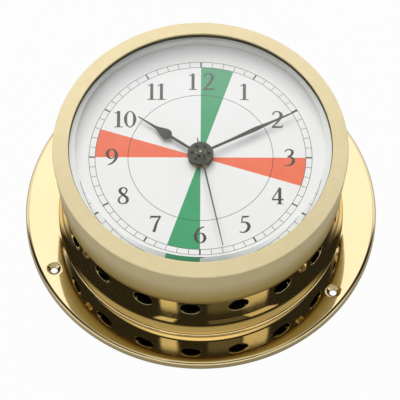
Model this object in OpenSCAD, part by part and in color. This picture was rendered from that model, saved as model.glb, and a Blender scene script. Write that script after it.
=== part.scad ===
// Ship's deck clock: a brass drum on a flange, an instrument insert and a quartz movement.
// The clock lies on its back: +Z comes out of the dial, 12 o'clock is +Y, millimetres.

/* [Mounting flange] */
// Outside diameter of the flange
flange_d = 150; // [146:1:164]
// Height of the dome's crest above the wall
flange_h = 4; // [3.8:0.1:6]
// Radius of the dome's curve across the flange
flange_dome_r = 300; // [50:10:400]
// Thickness of the flange metal
flange_sheet = 2; // [1.6:0.1:2.4]
// Width of the turned-down rim
flange_rim_w = 2.2; // [1.8:0.1:3]
// Radius of the rim's rounded top edge
flange_roll_r = 1.5; // [1:0.1:1.7]
// Number of fixing holes
fixing_count = 3; // [3:1:6]
// Distance from the flange edge to the fixing holes
fixing_inset = 6.3; // [6:0.1:9]
// Diameter of a fixing hole
fixing_d = 3; // [3:0.1:4]
// Diameter of its countersink
fixing_csk_d = 5.6; // [5.6:0.1:6.6]
// Turn of the fixing holes against the vent holes
fixing_turn = 1; // [0:0.5:10]

/* [Case drum] */
// Outside diameter of the drum
drum_d = 118; // [114:1:122]
// Wall of the drum
drum_wall = 1.2; // [0.8:0.1:1.6]
// Height of the drum's top edge
drum_top = 36; // [34:0.5:38]
// How far the foot flares outward
foot_spread = 2; // [1.5:0.1:3]
// Height of the flared foot
foot_h = 9.6; // [4:0.1:10]
// Number of vent holes round the drum
vent_count = 18; // [12:2:20]
// Diameter of a vent hole
vent_d = 8.8; // [6:0.1:9.5]
// Height of the vent holes
vent_z = 23.4; // [22:0.1:25]
// Turn of the case against the dial
case_turn = 4; // [0:0.5:10]

/* [Side screws] */
// Height of the side screws
side_screw_z = 27; // [22.5:0.1:27.2]
// Thread diameter of a side screw
side_screw_d = 3; // [2.5:0.1:3.5]
// Head diameter of a side screw
side_head_d = 3.6; // [3.6:0.1:4.4]

/* [Bezel] */
// Height of the whole clock
case_h = 58; // [56:0.5:62]
// How far the bezel stands out past the drum
bezel_overhang = 3.1; // [2.5:0.1:4]
// Fall of the bezel's face from opening to edge
bezel_drop = 1.8; // [1:0.1:2.4]
// Thickness of the bezel's lower edge
bezel_edge_t = 0.45; // [0.3:0.05:0.8]
// Height of the bezel's lower edge
bezel_bottom = 29.2; // [28:0.1:30]
// Height of the rounding above that edge
bezel_round_h = 4; // [2:0.1:5]
// Width of the lip that covers the crystal's edge
lip_cover = 2; // [1.6:0.1:3]

/* [Crystal and dial] */
// Thickness of the crystal
crystal_t = 3.6; // [3:0.1:4.2]
// Depth of the crystal's face below the bezel's top
crystal_sink = 0.8; // [0.4:0.1:1.4]
// Width of the bevel round the crystal
bevel_w = 3.2; // [2:0.1:4]
// Fall of that bevel
bevel_h = 2.2; // [1.2:0.1:2.4]
// Thickness of the crystal's gasket
gasket_t = 0.35; // [0.3:0.05:0.6]
// Air between crystal and dial
dial_gap = 6.6; // [6.2:0.1:7.5]
// Wall of the spacer ring round the dial
spacer_wall = 1.7; // [1.2:0.1:2.2]
// Thickness of the dial
dial_t = 0.8; // [0.5:0.1:1.2]

/* [Instrument frame] */
// Width of the frame's ledge under the dial
frame_ledge = 10; // [7:0.5:14]
// Thickness of that ledge
frame_ledge_t = 2; // [1.6:0.1:3]
// Diameter of the frame's tube
frame_d = 108; // [104:1:110]
// Wall of the frame's tube
frame_wall = 1.6; // [1.2:0.1:2.4]
// Height of the tube's back edge
frame_bottom = 15; // [12:0.5:18]

/* [Hands] */
// Length of the hour hand
hour_hand_l = 32.2; // [28:0.1:36]
// Length of the minute hand
minute_hand_l = 45.7; // [40:0.1:47]
// Length of the second hand
second_hand_l = 46; // [40:0.1:47]
// Length of the second hand's tail
second_tail_l = 7; // [5:0.1:12]
// Diameter of the hour and minute hands' hubs
hand_hub_d = 10.9; // [10.9:0.1:12]
// Thickness of a hand
hand_t = 0.45; // [0.3:0.05:0.5]
// Seconds shown at rest
time_seconds = 28; // [0:1:59]
// Minutes shown at rest
time_minutes = 10; // [0:1:59]
// Hours shown at rest
time_hours = 10; // [0:1:11]

/* [Movement] */
// Height of the movement's case, across the cell
movement_w = 56; // [56:0.5:60]
// Thickness of the movement
movement_t = 16; // [16:0.1:17]
// Walls of the movement's case
movement_wall = 1.2; // [1:0.1:1.5]
// Diameter of the cell
cell_d = 14.5; // [14:0.1:14.5]
// Length of the cell with its nub
cell_l = 50.5; // [49:0.1:50.5]
// Room for a contact between each end of the cell and the case
contact_room = 1.55; // [1.4:0.05:2]
// Diameter of the setting knob
knob_d = 9; // [7:0.5:11]

/* [Hidden] */
$fn = 96;
over = 0.5;            // how far a cutting tool runs past the face it cuts
arc_steps = 10;        // straight steps in a drawn arc
fit = 0.05;            // radial clearance of a turning fit
seat = 0.02;           // radial clearance of a fixed fit

// Radii of the case, from the drum outward and inward
flange_r = flange_d / 2;
drum_r = drum_d / 2;
drum_bore_r = drum_r - drum_wall;
foot_r = drum_r + foot_spread;
insert_gap = 0.4;
insert_r = drum_bore_r - insert_gap;
opening_r = insert_r - lip_cover;
bezel_r = drum_r + bezel_overhang;
skirt_gap = 0.15;
skirt_r = drum_r + skirt_gap;
bezel_edge_r = skirt_r + bezel_edge_t;
bezel_side_r = bezel_edge_r + bezel_edge_t;
fixing_r = flange_r - fixing_inset;
vent_pitch = 360 / vent_count;
side_screw_angle = 2.5 * vent_pitch;   // halfway between two vent holes

// Flange dome
rim_inner_r = flange_r - flange_rim_w;
crest_r = (foot_r + flange_r) / 2 + 0.9;
function dome_z(r) = flange_h - flange_dome_r + sqrt(pow(flange_dome_r, 2) - pow(r - crest_r, 2));
foot_z = dome_z(foot_r);
spigot_drop = 3;
chamfer = 0.4;

// Heights of the insert, from the top of the bezel down
crystal_top = case_h - crystal_sink;
crystal_z = crystal_top - crystal_t;
land_z = crystal_top - bevel_h;
lip_z = land_z + gasket_t;
bevel_r = insert_r - 1.5;
face_r = bevel_r - bevel_w;
dial_z = crystal_z - dial_gap;
dial_back = dial_z - dial_t;
ledge_z = dial_back - frame_ledge_t;
frame_r = frame_d / 2;

// Movement heights
washer_t = 0.5;
movement_top = dial_back - washer_t;
front_z = movement_top - movement_wall;
movement_back = movement_top - movement_t;
rear_z = movement_back + movement_wall;
half_w = movement_w / 2;
inner_w = half_w - movement_wall;
inner_l = cell_l / 2 + contact_room;    // half the room along the cell
half_l = inner_l + movement_wall;
wall_gap = 0.25;
cell_r = cell_d / 2;
cell_y = -inner_w + cell_r + wall_gap;
cell_z = front_z - cell_r - wall_gap;
bay_y = cell_y + cell_r + wall_gap;
bay_wall = 1;
gear_bay_y = bay_y + bay_wall;

// Bush, pipes and arbors, from the outside in
bush_r = 3.5;
bush_flange_r = 5;
bush_flange_t = 1;
bush_bore_r = 3;
hour_pipe_r = bush_bore_r - fit;
hour_bore_r = 2.15;
minute_pipe_r = hour_bore_r - fit;
minute_bore_r = 0.65;
arbor_r = minute_bore_r - fit;
pivot_r = 0.35;
setting_arbor_r = 0.8;
pivot_in = 0.9;
dial_washer_t = 0.3;
dial_nut_t = 1.1;
dial_nut_af = 9.2;
dial_washer_r = 5.2;

// Heights of the hands above the dial
hour_hand_z = dial_z + 2;
minute_hand_z = hour_hand_z + 1.25;
second_hand_z = minute_hand_z + 1.35;
pipe_proud = 0.3;
boss_drop = 0.4;
second_boss_r = 1.5;
second_hub_r = 1.9;
hub_r = hand_hub_d / 2;
hub_hole_r = 0.7;
hub_hole_at = 3.6;
hub_holes = 6;

// Angles of the hands, clockwise from 12, from the time shown
second_angle = time_seconds * 6;
minute_angle = (time_minutes + time_seconds / 60) * 6;
hour_angle = (time_hours + time_minutes / 60 + time_seconds / 3600) * 30;

// Teeth, and the spacing of the meshing pairs
second_teeth = 50;
second_pinion_teeth = 8;
third_teeth = 60;
third_pinion_teeth = 8;
minute_teeth = 64;
cannon_teeth = 12;
setting_teeth = 36;
setting_pinion_teeth = 10;
hour_teeth = 40;
reduction_teeth = 60;
reduction_pinion_teeth = 10;
rotor_teeth = 10;
third_apart = 10.2;
setting_apart = 12;
reduction_apart = 7.8;
rotor_apart = 7;
second_to_third = 2 * third_apart / (second_pinion_teeth + third_teeth);
third_to_minute = 2 * third_apart / (third_pinion_teeth + minute_teeth);
cannon_to_setting = 2 * setting_apart / (cannon_teeth + setting_teeth);
setting_to_hour = 2 * setting_apart / (setting_pinion_teeth + hour_teeth);
reduction_to_second = 2 * reduction_apart / (reduction_pinion_teeth + second_teeth);
rotor_to_reduction = 2 * rotor_apart / (rotor_teeth + reduction_teeth);

// Directions of the arbors from the centre, anticlockwise from 3 o'clock
third_dir = 75;
setting_dir = 165;
motor_dir = -10;
third_at = third_apart * [cos(third_dir), sin(third_dir)];
setting_at = setting_apart * [cos(setting_dir), sin(setting_dir)];
reduction_at = reduction_apart * [cos(motor_dir), sin(motor_dir)];
rotor_at = (reduction_apart + rotor_apart) * [cos(motor_dir), sin(motor_dir)];

// Heights of the wheels above the rear plate
wheel_t = 0.6;
pinion_over = 0.5;
level_step = 0.9;
reduction_z = rear_z + level_step;
second_z = reduction_z + wheel_t + level_step;
stator_z = second_z + wheel_t + 0.7;
third_z = stator_z + wheel_t + 0.6;
bridge_z = third_z + wheel_t + 0.7;
bridge_t = 1;
minute_z = bridge_z + bridge_t + 0.6;
setting_z = minute_z + wheel_t + 0.8;
hour_z = setting_z + wheel_t + 1.3;
tooth_top = 0.75;
tooth_root = 1.15;

// Motor and electronics
magnet_r = 3.2;
magnet_t = 3;
stator_bore_r = magnet_r + 0.35;
leg_w = 3;
stator_left = 5;
stator_right = inner_l - 0.8;
stator_low = -7.6;
stator_high = 3;
coil_y = inner_w - 4.8;
coil_r = 3.4;
bobbin_r = 3.7;
bobbin_t = 0.8;
bobbin_tube_r = 2.2;
core_t = 1;
board_t = 0.8;
board_z = rear_z + 2.2;
board_gap = 0.1;
board_x0 = -inner_l + board_gap;
board_x1 = -8;
board_y1 = inner_w - 5.8;
board_y0 = board_y1 - 12;
post_r = 1.2;
bridge_posts = [[-7, -7], [16.5, -9.2], [15.5, 14.5]];
bridge_outline = [[-9.2, -8], [-8, -9.2], [18, -10.4], [18, 3], [17.2, 16], [14, 16.5], [-3, 13], [-9.2, 3]];
stator_posts = [[stator_right - leg_w / 2, stator_low + leg_w / 2], [stator_left + leg_w / 2, coil_y],
    [stator_right - leg_w / 2, coil_y]];
board_posts = [[board_x0 + leg_w, board_y0 + leg_w / 2], [board_x1 - leg_w / 2, board_y1 - leg_w / 2]];
boss_r = 1.7;
boss_bite = 0.4;        // how far a boss runs into the wall beside it
boss_x = inner_l - boss_r + boss_bite;
boss_high = inner_w - boss_r + boss_bite;
boss_low = gear_bay_y + boss_r - boss_bite;
screw_r = 0.8;
screw_head_r = 1.5;
screw_head_t = 1;
case_screw_l = 5;
bosses = [[boss_x, boss_high], [-boss_x, boss_high], [boss_x, boss_low], [-boss_x, boss_low]];

// Points of a circular arc about a centre, between two angles
function arc(c, r, a0, a1, n = arc_steps) =
    [for (i = [0:n]) c + r * [cos(a0 + (a1 - a0) * i / n), sin(a0 + (a1 - a0) * i / n)]];

// A ring between two radii and two heights
module ring(r_in, r_out, z0, z1) {
    translate([0, 0, z0])
        difference() {
            cylinder(r = r_out, h = z1 - z0);
            translate([0, 0, -over])
                cylinder(r = r_in, h = z1 - z0 + 2 * over);
        }
}

// A rod between two heights
module rod(r, z0, z1) {
    translate([0, 0, z0])
        cylinder(r = r, h = z1 - z0);
}

// Places its children round the case, at a radius, turned with the case
module round_case(count, r, first = 0) {
    for (i = [0:count - 1])
        rotate(90 - case_turn - first - i * 360 / count)
            translate([r, 0, 0])
                children();
}

// Places its children at the four side screws, lying along the radius
module at_side_screws() {
    for (side = [side_screw_angle, 180 - side_screw_angle, 180 + side_screw_angle, -side_screw_angle])
        rotate(90 - case_turn - side)
            translate([0, 0, side_screw_z])
                rotate([0, 90, 0])
                    children();
}

// Outline of a gear: each tooth is a short trapezoid, tooth 0 lies along +X
module gear_outline(teeth, size) {
    tip_r = size * (teeth / 2 + tooth_top);
    root_r = size * (teeth / 2 - tooth_root);
    pitch = 360 / teeth;
    polygon([for (i = [0:teeth - 1], p = [[root_r, -0.31], [tip_r, -0.1], [tip_r, 0.1], [root_r, 0.31]])
        p[0] * [cos((i + p[1]) * pitch), sin((i + p[1]) * pitch)]]);
}

// A gear between two heights with a round bore
module gear(teeth, size, z0, z1, bore, turn = 0) {
    translate([0, 0, z0])
        difference() {
            rotate(turn)
                linear_extrude(z1 - z0)
                    gear_outline(teeth, size);
            translate([0, 0, -over])
                cylinder(r = bore, h = z1 - z0 + 2 * over);
        }
}

// A hand's blade: pairs of distance from the pivot and half width, drawn along +Y
module blade(shape, z) {
    n = len(shape);
    translate([0, 0, z])
        linear_extrude(hand_t)
            polygon([for (i = [0:2 * n - 1])
                i < n ? [shape[i][1], shape[i][0]] : [-shape[2 * n - 1 - i][1], shape[2 * n - 1 - i][0]]]);
}

module mounting_flange() {
    roll_c = [flange_r - flange_roll_r, dome_z(flange_r - flange_roll_r) - flange_roll_r];
    slope = asin((roll_c[0] - crest_r) / flange_dome_r);
    dome = [for (i = [0:arc_steps]) let (r = foot_r + (roll_c[0] - foot_r) * i / arc_steps) [r, dome_z(r)]];
    under = [for (i = [arc_steps:-1:0]) let (r = foot_r + (rim_inner_r - foot_r) * i / arc_steps)
        [r, dome_z(r) - flange_sheet]];
    profile = concat(
        [[drum_r + seat, foot_z]], dome, arc(roll_c, flange_roll_r, 80 - slope, 0, 6),
        [[flange_r, chamfer], [flange_r - chamfer, 0], [rim_inner_r, 0]], under,
        [[foot_r, foot_z - spigot_drop], [drum_r + seat, foot_z - spigot_drop]]);
    color("goldenrod")
        difference() {
            rotate_extrude()
                polygon(profile);
            round_case(fixing_count, fixing_r, fixing_turn)
                fixing_hole();
        }
}

// Through hole and countersink of one fixing screw
module fixing_hole() {
    sink_h = (fixing_csk_d - fixing_d) / 2;
    top = dome_z(fixing_r);
    rod(fixing_d / 2, -over, flange_h + over);
    translate([0, 0, top - sink_h])
        cylinder(r1 = fixing_d / 2, r2 = fixing_csk_d / 2 + over, h = sink_h + over);
}

module case_drum() {
    foot_arc_r = (pow(foot_h, 2) + pow(foot_spread, 2)) / (2 * foot_spread);
    flare = asin(foot_h / foot_arc_r);
    profile = concat(
        [[drum_bore_r, foot_z - spigot_drop], [drum_r, foot_z - spigot_drop], [drum_r, foot_z]],
        [[foot_r, foot_z]],
        arc([drum_r + foot_arc_r, foot_z + foot_h], foot_arc_r, 180 + flare, 180),
        [[drum_r, drum_top], [drum_bore_r, drum_top]]);
    color("goldenrod")
        difference() {
            rotate_extrude()
                polygon(profile);
            round_case(vent_count, 0)
                translate([drum_bore_r - over, 0, vent_z])
                    rotate([0, 90, 0])
                        cylinder(d = vent_d, h = drum_wall + foot_spread + over);
            at_side_screws()
                rod(side_screw_d / 2 + seat, drum_bore_r - over, drum_r + over);
        }
}

module side_screws() {
    head_z = drum_r + seat;
    color("darkgoldenrod")
        at_side_screws()
            difference() {
                union() {
                    rod(side_head_d / 2, head_z, head_z + 0.9);
                    rod(side_screw_d / 2 - seat, head_z - case_screw_l, head_z);
                }
                translate([-side_head_d, -0.25, head_z + 0.4])
                    cube([2 * side_head_d, 0.5, 1]);
            }
}

module bezel_ring() {
    round_r = (pow(bezel_round_h, 2) + pow(bezel_edge_t, 2)) / (2 * bezel_edge_t);
    bend = asin(bezel_round_h / round_r);
    edge = 0.6;
    profile = concat(
        [[opening_r, lip_z], [opening_r, case_h - edge / 3], [opening_r + edge / 3, case_h]],
        [[bezel_r - edge, case_h - bezel_drop], [bezel_r, case_h - bezel_drop - edge]],
        arc([bezel_side_r - round_r, bezel_bottom + bezel_round_h], round_r, 0, -bend, 5),
        [[skirt_r, bezel_bottom], [skirt_r, drum_top], [insert_r + seat, drum_top]],
        [[insert_r + seat, lip_z]]);
    color("burlywood")
        rotate_extrude()
            polygon(profile);
}

module crystal() {
    color([0.85, 0.93, 0.92, 0.35])
        rotate_extrude()
            polygon([[0, crystal_z], [insert_r, crystal_z], [insert_r, land_z], [bevel_r, land_z],
                [face_r, crystal_top], [0, crystal_top]]);
}

module crystal_gasket() {
    inner_r = max(opening_r + seat, bevel_r);
    color("dimgray")
        ring(inner_r, insert_r, land_z, lip_z);
}

module dial_spacer_ring() {
    color("gainsboro")
        ring(insert_r - spacer_wall, insert_r, dial_z, crystal_z);
}

module dial_plate() {
    color("whitesmoke")
        ring(bush_r + seat, insert_r, dial_back, dial_z);
}

module instrument_frame() {
    lug_w = 9;
    lug_h = 9;
    color([0.1, 0.1, 0.1])
        difference() {
            union() {
                ring(insert_r - frame_ledge, insert_r, ledge_z, dial_back);
                ring(frame_r - frame_wall, frame_r, frame_bottom, ledge_z + over);
                at_side_screws()
                    intersection() {
                        translate([-lug_h / 2, -lug_w / 2, frame_r - frame_wall])
                            cube([lug_h, lug_w, insert_r]);
                        rotate([0, -90, 0])
                            rod(insert_r, -lug_h, lug_h);
                    }
            }
            at_side_screws()
                rod(side_screw_d / 2, frame_r - frame_wall - 2 * over, insert_r + over);
        }
}

module movement_washer() {
    color([0.15, 0.15, 0.15])
        ring(bush_r + fit, 2 * bush_flange_r, movement_top, dial_back);
}

module threaded_bush() {
    color("gold")
        difference() {
            union() {
                rod(bush_flange_r, front_z - bush_flange_t, front_z);
                rod(bush_r, front_z - bush_flange_t, dial_z + dial_washer_t + dial_nut_t + 0.1);
            }
            rod(bush_bore_r, front_z - bush_flange_t - over, dial_z + 3 * over + dial_nut_t);
        }
}

module dial_washer() {
    color("gold")
        ring(bush_r + seat, dial_washer_r, dial_z, dial_z + dial_washer_t);
}

module dial_nut() {
    nut_z = dial_z + dial_washer_t;
    color("darkkhaki")
        difference() {
            translate([0, 0, nut_z])
                cylinder(d = dial_nut_af / cos(30), h = dial_nut_t, $fn = 6);
            rod(bush_r + seat, nut_z - over, nut_z + dial_nut_t + over);
        }
}

module movement_front_case() {
    depth = front_z - rear_z;
    color([0.16, 0.16, 0.17])
        difference() {
            union() {
                translate([-half_l, -half_w, rear_z])
                    difference() {
                        cube([2 * half_l, movement_w, movement_top - rear_z]);
                        translate([movement_wall, movement_wall, -over])
                            cube([2 * inner_l, 2 * inner_w, depth + over]);
                    }
                translate([-inner_l - over, bay_y, rear_z])
                    cube([2 * inner_l + 2 * over, bay_wall, depth + over]);
                for (p = bosses)
                    translate([p[0], p[1], 0])
                        rod(boss_r, rear_z, front_z + over);
            }
            rod(bush_r + seat, front_z - over, movement_top + over);
            for (p = bosses)
                translate([p[0], p[1], 0])
                    rod(screw_r, rear_z - over, rear_z + case_screw_l);
            translate([third_at[0], third_at[1], 0])
                rod(pivot_r + fit, front_z - over, front_z + pivot_in);
            translate([setting_at[0], setting_at[1], 0])
                rod(pivot_r + fit, front_z - over, front_z + pivot_in);
        }
}

module movement_rear_case() {
    color([0.2, 0.2, 0.21])
        difference() {
            union() {
                translate([-half_l, bay_y, movement_back])
                    cube([2 * half_l, half_w - bay_y, movement_wall]);
                for (p = bridge_posts)
                    translate([p[0], p[1], 0])
                        rod(post_r, rear_z - over, bridge_z);
                for (p = stator_posts)
                    translate([p[0], p[1], 0])
                        rod(post_r, rear_z - over, stator_z);
                for (p = board_posts)
                    translate([p[0], p[1], 0])
                        rod(post_r, rear_z - over, board_z);
            }
            for (p = bosses)
                translate([p[0], p[1], 0])
                    rod(screw_r + seat, movement_back - over, rear_z + over);
            rod(arbor_r + fit, rear_z - pivot_in, rear_z + over);
            for (p = [third_at, reduction_at, rotor_at])
                translate([p[0], p[1], 0])
                    rod(pivot_r + fit, rear_z - pivot_in, rear_z + over);
            translate([setting_at[0], setting_at[1], 0])
                rod(setting_arbor_r + fit, movement_back - over, rear_z + over);
        }
}

module movement_screws() {
    color("silver")
        for (p = bosses)
            translate([p[0], p[1], 0])
                difference() {
                    union() {
                        rod(screw_head_r, movement_back - screw_head_t, movement_back);
                        rod(screw_r - seat, movement_back, rear_z + case_screw_l - over);
                    }
                    translate([-0.2, -2 * screw_head_r, movement_back - screw_head_t - over])
                        cube([0.4, 4 * screw_head_r, 2 * over]);
                }
}

module gear_bridge() {
    color("ivory")
        difference() {
            translate([0, 0, bridge_z])
                linear_extrude(bridge_t)
                    polygon(bridge_outline);
            rod(minute_pipe_r + fit, bridge_z - over, bridge_z + bridge_t + over);
            translate([third_at[0], third_at[1], 0])
                rod(third_to_minute * (third_pinion_teeth / 2 + 1) + 3 * fit, bridge_z - over,
                    bridge_z + bridge_t + over);
            for (p = [reduction_at, rotor_at])
                translate([p[0], p[1], 0])
                    rod(pivot_r + fit, bridge_z - over, bridge_z + bridge_t + over);
        }
}

module stator() {
    color("lightsteelblue")
        translate([0, 0, stator_z])
            linear_extrude(wheel_t)
                difference() {
                    union() {
                        translate([stator_left, stator_low])
                            square([stator_right - stator_left, stator_high - stator_low]);
                        translate([stator_left, stator_low])
                            square([leg_w, coil_y + leg_w / 2 - stator_low]);
                        translate([stator_right - leg_w, stator_low])
                            square([leg_w, coil_y + leg_w / 2 - stator_low]);
                    }
                    translate(rotor_at)
                        circle(r = stator_bore_r);
                    translate(reduction_at)
                        circle(r = reduction_to_second * (reduction_pinion_teeth / 2 + 1) + fit);
                }
}

module coil_core() {
    color("slategray")
        translate([stator_left, coil_y - leg_w / 2, stator_z + wheel_t])
            cube([stator_right - leg_w - stator_left, leg_w, core_t]);
}

module coil_bobbin() {
    core_z = stator_z + wheel_t + core_t / 2;
    left = stator_left + leg_w + seat;
    right = stator_right - 2 * leg_w;
    color("white")
        translate([left, coil_y, core_z])
            rotate([0, 90, 0])
                difference() {
                    union() {
                        rod(bobbin_r, 0, bobbin_t);
                        rod(bobbin_tube_r, 0, right - left);
                        rod(bobbin_r, right - left - bobbin_t, right - left);
                    }
                    translate([-core_t / 2 - seat, -leg_w / 2 - seat, -over])
                        cube([core_t + 2 * seat, leg_w + 2 * seat, right - left + 2 * over]);
                }
}

module coil_winding() {
    core_z = stator_z + wheel_t + core_t / 2;
    left = stator_left + leg_w + seat + bobbin_t;
    right = stator_right - 2 * leg_w - bobbin_t;
    color("chocolate")
        translate([0, coil_y, core_z])
            rotate([0, 90, 0])
                ring(bobbin_tube_r, coil_r, left, right);
}

module circuit_board() {
    color("darkgreen")
        translate([board_x0, board_y0, board_z])
            cube([board_x1 - board_x0, board_y1 - board_y0, board_t]);
}

module control_chip() {
    chip = [4, 4, 1];
    color([0.08, 0.08, 0.08])
        translate([board_x0 + 5, board_y0 + 4, board_z + board_t])
            cube(chip);
}

module quartz_can() {
    can_r = 1;
    color("silver")
        translate([board_x0 + 11, board_y0 + 6, board_z + board_t + can_r])
            rotate([0, 90, 0])
                rod(can_r, 0, 6);
}

module cell() {
    nub_l = 1;
    color("steelblue")
        translate([-cell_l / 2, cell_y, cell_z])
            rotate([0, 90, 0]) {
                rod(cell_r, 0, cell_l - nub_l);
                rod(2.75, 0, cell_l);
            }
}

// A contact strip at one end of the cell
module cell_contact(side) {
    strip_t = 0.4;
    strip_w = 8;
    translate([side * (cell_l / 2 + wall_gap + strip_t / 2), cell_y, cell_z])
        cube([strip_t, strip_w, strip_w], center = true);
    translate([side * (inner_l - strip_t / 2 - seat), cell_y, cell_z + 1])
        cube([strip_t, strip_w, strip_w], center = true);
    translate([side * (cell_l / 2 + inner_l + wall_gap) / 2, cell_y, cell_z + strip_w / 2 - strip_t / 2])
        cube([inner_l - cell_l / 2 - wall_gap - 2 * seat, strip_w, strip_t], center = true);
}

module cell_contact_plus() {
    color("silver")
        cell_contact(1);
}

module cell_contact_minus() {
    color("silver")
        cell_contact(-1);
}

module second_hand() {
    z = second_hand_z;
    color("darkolivegreen")
        rotate(-second_angle)
            difference() {
                union() {
                    blade([[-second_tail_l, 0.12], [-second_tail_l / 2, 0.42], [0, 0.42], [10, 0.32],
                        [second_hand_l, 0.16]], z);
                    rod(second_hub_r, z, z + hand_t);
                    rod(second_boss_r, z - boss_drop, z + hand_t);
                }
                rod(arbor_r + seat, z - boss_drop - over, z + hand_t + over);
            }
}

module second_wheel() {
    z = second_z;
    color("gold") {
        rod(arbor_r, rear_z - pivot_in + seat, second_hand_z + hand_t + pipe_proud);
        gear(second_teeth, reduction_to_second, z, z + wheel_t, arbor_r,
            motor_dir + 180 / second_teeth);
        gear(second_pinion_teeth, second_to_third, third_z - pinion_over, third_z + wheel_t + pinion_over,
            arbor_r, third_dir);
    }
}

module minute_hand() {
    z = minute_hand_z;
    color("darkolivegreen")
        rotate(-minute_angle)
            difference() {
                union() {
                    blade([[0, 0.5], [14, 0.55], [26, 0.95], [33, 0.5], [minute_hand_l, 0.15]], z);
                    rod(hub_r, z, z + hand_t);
                }
                rod(minute_pipe_r + seat, z - over, z + hand_t + over);
                for (i = [0:hub_holes - 1])
                    rotate((i + 0.5) * 360 / hub_holes)
                        translate([0, hub_hole_at, 0])
                            rod(hub_hole_r, z - over, z + hand_t + over);
            }
}

module minute_wheel() {
    z = minute_z;
    color("gold")
        difference() {
            union() {
                rod(minute_pipe_r, z, minute_hand_z + hand_t + pipe_proud);
                gear(minute_teeth, third_to_minute, z, z + wheel_t, minute_bore_r,
                    third_dir + 180 / minute_teeth);
                gear(cannon_teeth, cannon_to_setting, z + wheel_t, setting_z + wheel_t + pinion_over,
                    minute_bore_r, setting_dir);
            }
            rod(minute_bore_r, z - over, minute_hand_z + hand_t + pipe_proud + over);
        }
}

module hour_hand() {
    z = hour_hand_z;
    spade = [[0, 0.55], [15.2, 0.55], [15.8, 1.5], [16.8, 2.15], [18.2, 2.3], [20.2, 1.6],
        [22.6, 0.7], [24.4, 0.45], [hour_hand_l, 0.15]];
    color("darkolivegreen")
        rotate(-hour_angle)
            difference() {
                union() {
                    blade(spade, z);
                    rod(hub_r, z, z + hand_t);
                }
                rod(hour_pipe_r + seat, z - over, z + hand_t + over);
            }
}

module hour_wheel() {
    z = hour_z;
    color("gold")
        difference() {
            union() {
                rod(hour_pipe_r, z, hour_hand_z + hand_t + pipe_proud);
                gear(hour_teeth, setting_to_hour, z, z + wheel_t, hour_bore_r,
                    setting_dir + 180 / hour_teeth);
            }
            rod(hour_bore_r, z - over, hour_hand_z + hand_t + pipe_proud + over);
        }
}

module third_wheel() {
    z = third_z;
    color("gold")
        translate([third_at[0], third_at[1], 0]) {
            rod(pivot_r, rear_z - pivot_in + seat, front_z + pivot_in - seat);
            gear(third_teeth, second_to_third, z, z + wheel_t, pivot_r,
                third_dir + 180 + 180 / third_teeth);
            gear(third_pinion_teeth, third_to_minute, z + wheel_t, minute_z + wheel_t + pinion_over,
                pivot_r, third_dir + 180);
        }
}

module setting_wheel() {
    z = setting_z;
    color("gold")
        translate([setting_at[0], setting_at[1], 0]) {
            rod(pivot_r, z, front_z + pivot_in - seat);
            rod(setting_arbor_r, movement_back - 3, z);
            gear(setting_teeth, cannon_to_setting, z, z + wheel_t, pivot_r,
                setting_dir + 180 + 180 / setting_teeth);
            gear(setting_pinion_teeth, setting_to_hour, z + wheel_t, hour_z + wheel_t + pinion_over,
                pivot_r, setting_dir + 180);
        }
}

module setting_knob() {
    grips = 18;
    knob_h = 3;
    top = movement_back - 0.4;
    color("black")
        translate([setting_at[0], setting_at[1], 0])
            difference() {
                rod(knob_d / 2, top - knob_h, top);
                rod(setting_arbor_r + seat, movement_back - 3, top + over);
                for (i = [0:grips - 1])
                    rotate(i * 360 / grips)
                        translate([knob_d / 2 + 0.2, 0, 0])
                            rod(0.45, top - knob_h - over, top + over);
            }
}

module reduction_wheel() {
    z = reduction_z;
    color("ivory")
        translate([reduction_at[0], reduction_at[1], 0]) {
            rod(pivot_r, rear_z - pivot_in + seat, bridge_z + bridge_t);
            gear(reduction_teeth, rotor_to_reduction, z, z + wheel_t, pivot_r,
                motor_dir + 180 / reduction_teeth);
            gear(reduction_pinion_teeth, reduction_to_second, z + wheel_t,
                second_z + wheel_t + pinion_over, pivot_r, motor_dir + 180);
        }
}

module rotor_magnet() {
    color("dimgray")
        translate([rotor_at[0], rotor_at[1], 0])
            ring(pivot_r, magnet_r, stator_z - magnet_t / 3, stator_z + magnet_t * 2 / 3);
}

module rotor_pinion() {
    z = reduction_z;
    color("white")
        translate([rotor_at[0], rotor_at[1], 0]) {
            rod(pivot_r, rear_z - pivot_in + seat, bridge_z + bridge_t);
            gear(rotor_teeth, rotor_to_reduction, z - 0.3, stator_z - magnet_t / 3, pivot_r,
                motor_dir + 180);
        }
}

mounting_flange();
case_drum();
side_screws();
bezel_ring();
crystal();
crystal_gasket();
dial_spacer_ring();
dial_plate();
instrument_frame();
movement_washer();
threaded_bush();
dial_washer();
dial_nut();
movement_front_case();
movement_rear_case();
movement_screws();
gear_bridge();
stator();
coil_core();
coil_bobbin();
coil_winding();
circuit_board();
control_chip();
quartz_can();
cell();
cell_contact_plus();
cell_contact_minus();
second_hand();
second_wheel();
minute_hand();
minute_wheel();
hour_hand();
hour_wheel();
third_wheel();
setting_wheel();
setting_knob();
reduction_wheel();
rotor_magnet();
rotor_pinion();
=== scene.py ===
"""Ship's deck clock: brass case, bevelled crystal, printed dial. Metres, in the CAD frame."""

import math

import bmesh
import bpy
from mathutils import Matrix, Vector


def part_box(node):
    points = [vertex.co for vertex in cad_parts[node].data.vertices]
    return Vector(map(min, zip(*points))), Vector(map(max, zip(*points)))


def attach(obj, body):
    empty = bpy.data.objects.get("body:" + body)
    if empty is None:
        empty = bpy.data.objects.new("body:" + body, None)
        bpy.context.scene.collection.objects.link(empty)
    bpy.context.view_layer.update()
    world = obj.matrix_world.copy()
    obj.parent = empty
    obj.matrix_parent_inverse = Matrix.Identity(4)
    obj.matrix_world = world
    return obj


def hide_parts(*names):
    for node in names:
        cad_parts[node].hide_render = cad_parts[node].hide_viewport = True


MM = 0.001
FIT = 0.02

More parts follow.
